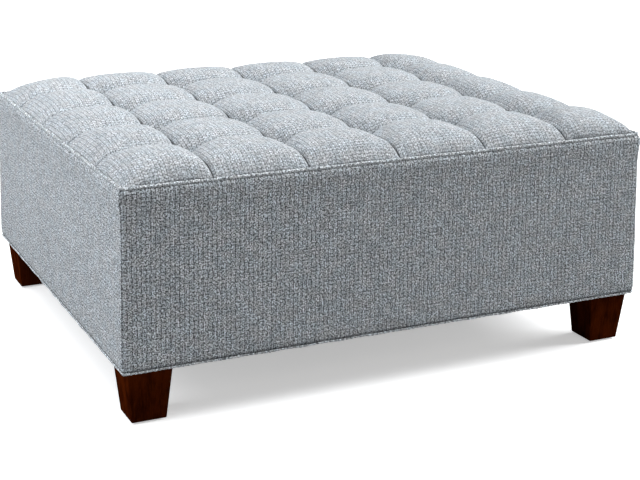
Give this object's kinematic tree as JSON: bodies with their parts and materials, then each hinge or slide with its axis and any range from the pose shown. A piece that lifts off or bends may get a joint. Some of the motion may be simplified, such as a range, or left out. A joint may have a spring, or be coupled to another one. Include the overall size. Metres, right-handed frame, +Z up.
{
  "type": "upholstered ottoman coffee table",
  "caption": "Rectangular upholstered block ottoman with a biscuit tufted top, welted edges and dark tapered block legs, for use as a coffee table, footrest or seat.",
  "frame": {"origin": "on the floor under the middle of the block", "axes": "+X along the long front, +Y from the front to the back, +Z up"},
  "size_m": [1.067, 0.889, 0.4732],
  "materials": {
    "cover_fabric": "chunky light blue-grey upholstery weave",
    "welt_fabric": "covered cord in the cover fabric",
    "leg_wood": "dark espresso stain, satin lacquer",
    "plywood": "birch plywood",
    "hardwood": "planed hardwood",
    "softwood": "planed softwood",
    "foam": "open cell upholstery foam",
    "padding": "bonded polyester wadding",
    "twine": "waxed tufting twine",
    "fibre_washer": "pressed fibre washer",
    "zinc_steel": "bright zinc plate",
    "dust_cloth": "black spunbond cloth",
    "glide_plastic": "dark moulded nylon"
  },
  "bodies": {
    "root": {"back_boxing": "cover_fabric", "back_padding": "padding", "back_panel": "plywood", "bottom_stretcher": "softwood", "bottom_welt": "welt_fabric", "deck_board": "plywood", "deck_screws": "zinc_steel", "dust_cover": "dust_cloth", "foam_pad": "foam", "front_boxing": "cover_fabric", "front_padding": "padding", "front_panel": "plywood", "glides": "glide_plastic", "hanger_bolts": "zinc_steel", "left_boxing": "cover_fabric", "left_padding": "padding", "left_panel": "plywood", "left_stretcher": "softwood", "leg_back_left": "leg_wood", "leg_back_right": "leg_wood", "leg_front_left": "leg_wood", "leg_front_right": "leg_wood", "leg_plate_back_left": "hardwood", "leg_plate_back_right": "hardwood", "leg_plate_front_left": "hardwood", "leg_plate_front_right": "hardwood", "panel_screws": "zinc_steel", "plate_screws": "zinc_steel", "post_back_left": "hardwood", "post_back_right": "hardwood", "post_front_left": "hardwood", "post_front_right": "hardwood", "right_boxing": "cover_fabric", "right_padding": "padding", "right_panel": "plywood", "right_stretcher": "softwood", "t_nuts": "zinc_steel", "top_welt": "welt_fabric", "tuft_twines": "twine", "tufted_top": "cover_fabric", "twine_washers": "fibre_washer"}
  },
  "joints": []
}
